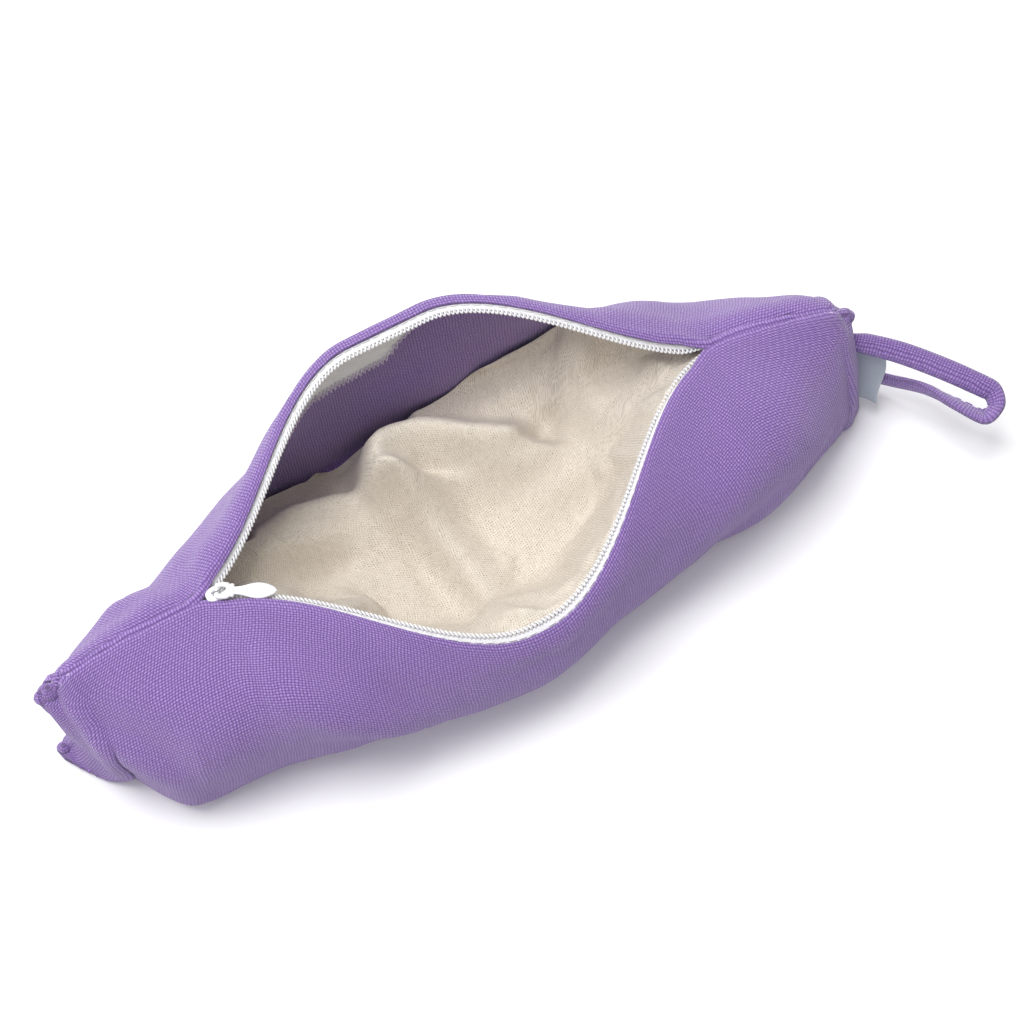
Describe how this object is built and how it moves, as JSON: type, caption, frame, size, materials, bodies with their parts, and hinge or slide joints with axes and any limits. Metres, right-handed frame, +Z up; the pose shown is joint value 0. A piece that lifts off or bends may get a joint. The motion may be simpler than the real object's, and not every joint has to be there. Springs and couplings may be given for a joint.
{
  "type": "pencil case",
  "caption": "Flat canvas zip pouch for pencils, mouth open, with a loose calico lining, coil zip with teardrop pull, strap loop and blank side label.",
  "frame": {"origin": "on the floor at the middle of the zip line, below the closed zip", "axes": "+X along the zip from the parked slider to the strap end, +Y from the near wall to the far wall, +Z up"},
  "size_m": [0.2961, 0.109, 0.0635],
  "materials": {
    "canvas": "plain woven cotton canvas, matt with a soft sheen",
    "thread": "matching sewing thread",
    "overlock": "overlock thread ladder over a raw edge",
    "calico": "unbleached plain calico with small dark flecks",
    "zip_tape": "white woven zip tape",
    "zip_coil": "white nylon coil",
    "slider": "white enamel",
    "steel": "bare metal",
    "label": "blank folded woven label"
  },
  "bodies": {
    "case": {"base_panel": "canvas", "left_end": "canvas", "right_end": "canvas", "left_seam_thread": "thread", "right_seam_thread": "thread", "lining_floor": "calico", "left_tape_end": "zip_tape", "right_tape_end": "zip_tape", "end_tacks": "zip_tape"},
    "front_wall": {"front_panel": "canvas", "front_tape": "zip_tape", "front_coil": "zip_coil", "front_zip_thread": "thread", "lining_front": "calico"},
    "back_wall": {"back_panel": "canvas", "back_tape": "zip_tape", "back_coil": "zip_coil", "back_zip_thread": "thread", "back_overlock": "overlock"},
    "slider": {"slider_body": "slider", "slider_bridge": "steel"},
    "pull": {"pull_tab": "slider"},
    "strap": {"strap_loop": "canvas"},
    "label": {"label_tab": "label"}
  },
  "joints": [
    {"name": "slider_travel", "type": "slide", "parent": "case", "child": "slider", "axis": [1, 0, 0], "range_m": [0, 0.156]},
    {"name": "front_wall_close", "type": "hinge", "parent": "case", "child": "front_wall", "pos_m": [0, -0.02, 0], "axis": [-1, 0, 0], "range_deg": [0, 54.64]},
    {"name": "back_wall_close", "type": "hinge", "parent": "case", "child": "back_wall", "pos_m": [0, 0.038, 0], "axis": [1, 0, 0], "range_deg": [0, 42.47]},
    {"name": "pull_swing", "type": "hinge", "parent": "slider", "child": "pull", "pos_m": [-0.078, 0, 0.05505], "axis": [-0.4695, -0.8829, 0], "range_deg": [0, 150]},
    {"name": "strap_swing", "type": "hinge", "parent": "case", "child": "strap", "pos_m": [0.1326, -0.016, 0.034], "axis": [0.2079, 0, 0.9781], "range_deg": [-35, 60]},
    {"name": "label_swing", "type": "hinge", "parent": "case", "child": "label", "pos_m": [0.1312, -0.017, 0.013], "axis": [0, 0, 1], "range_deg": [-30, 50]}
  ],
  "couplings": [
    {"joint": "front_wall_close", "follows": "slider_travel", "rad_per_m": 6.1115},
    {"joint": "back_wall_close", "follows": "slider_travel", "rad_per_m": 4.7502}
  ]
}
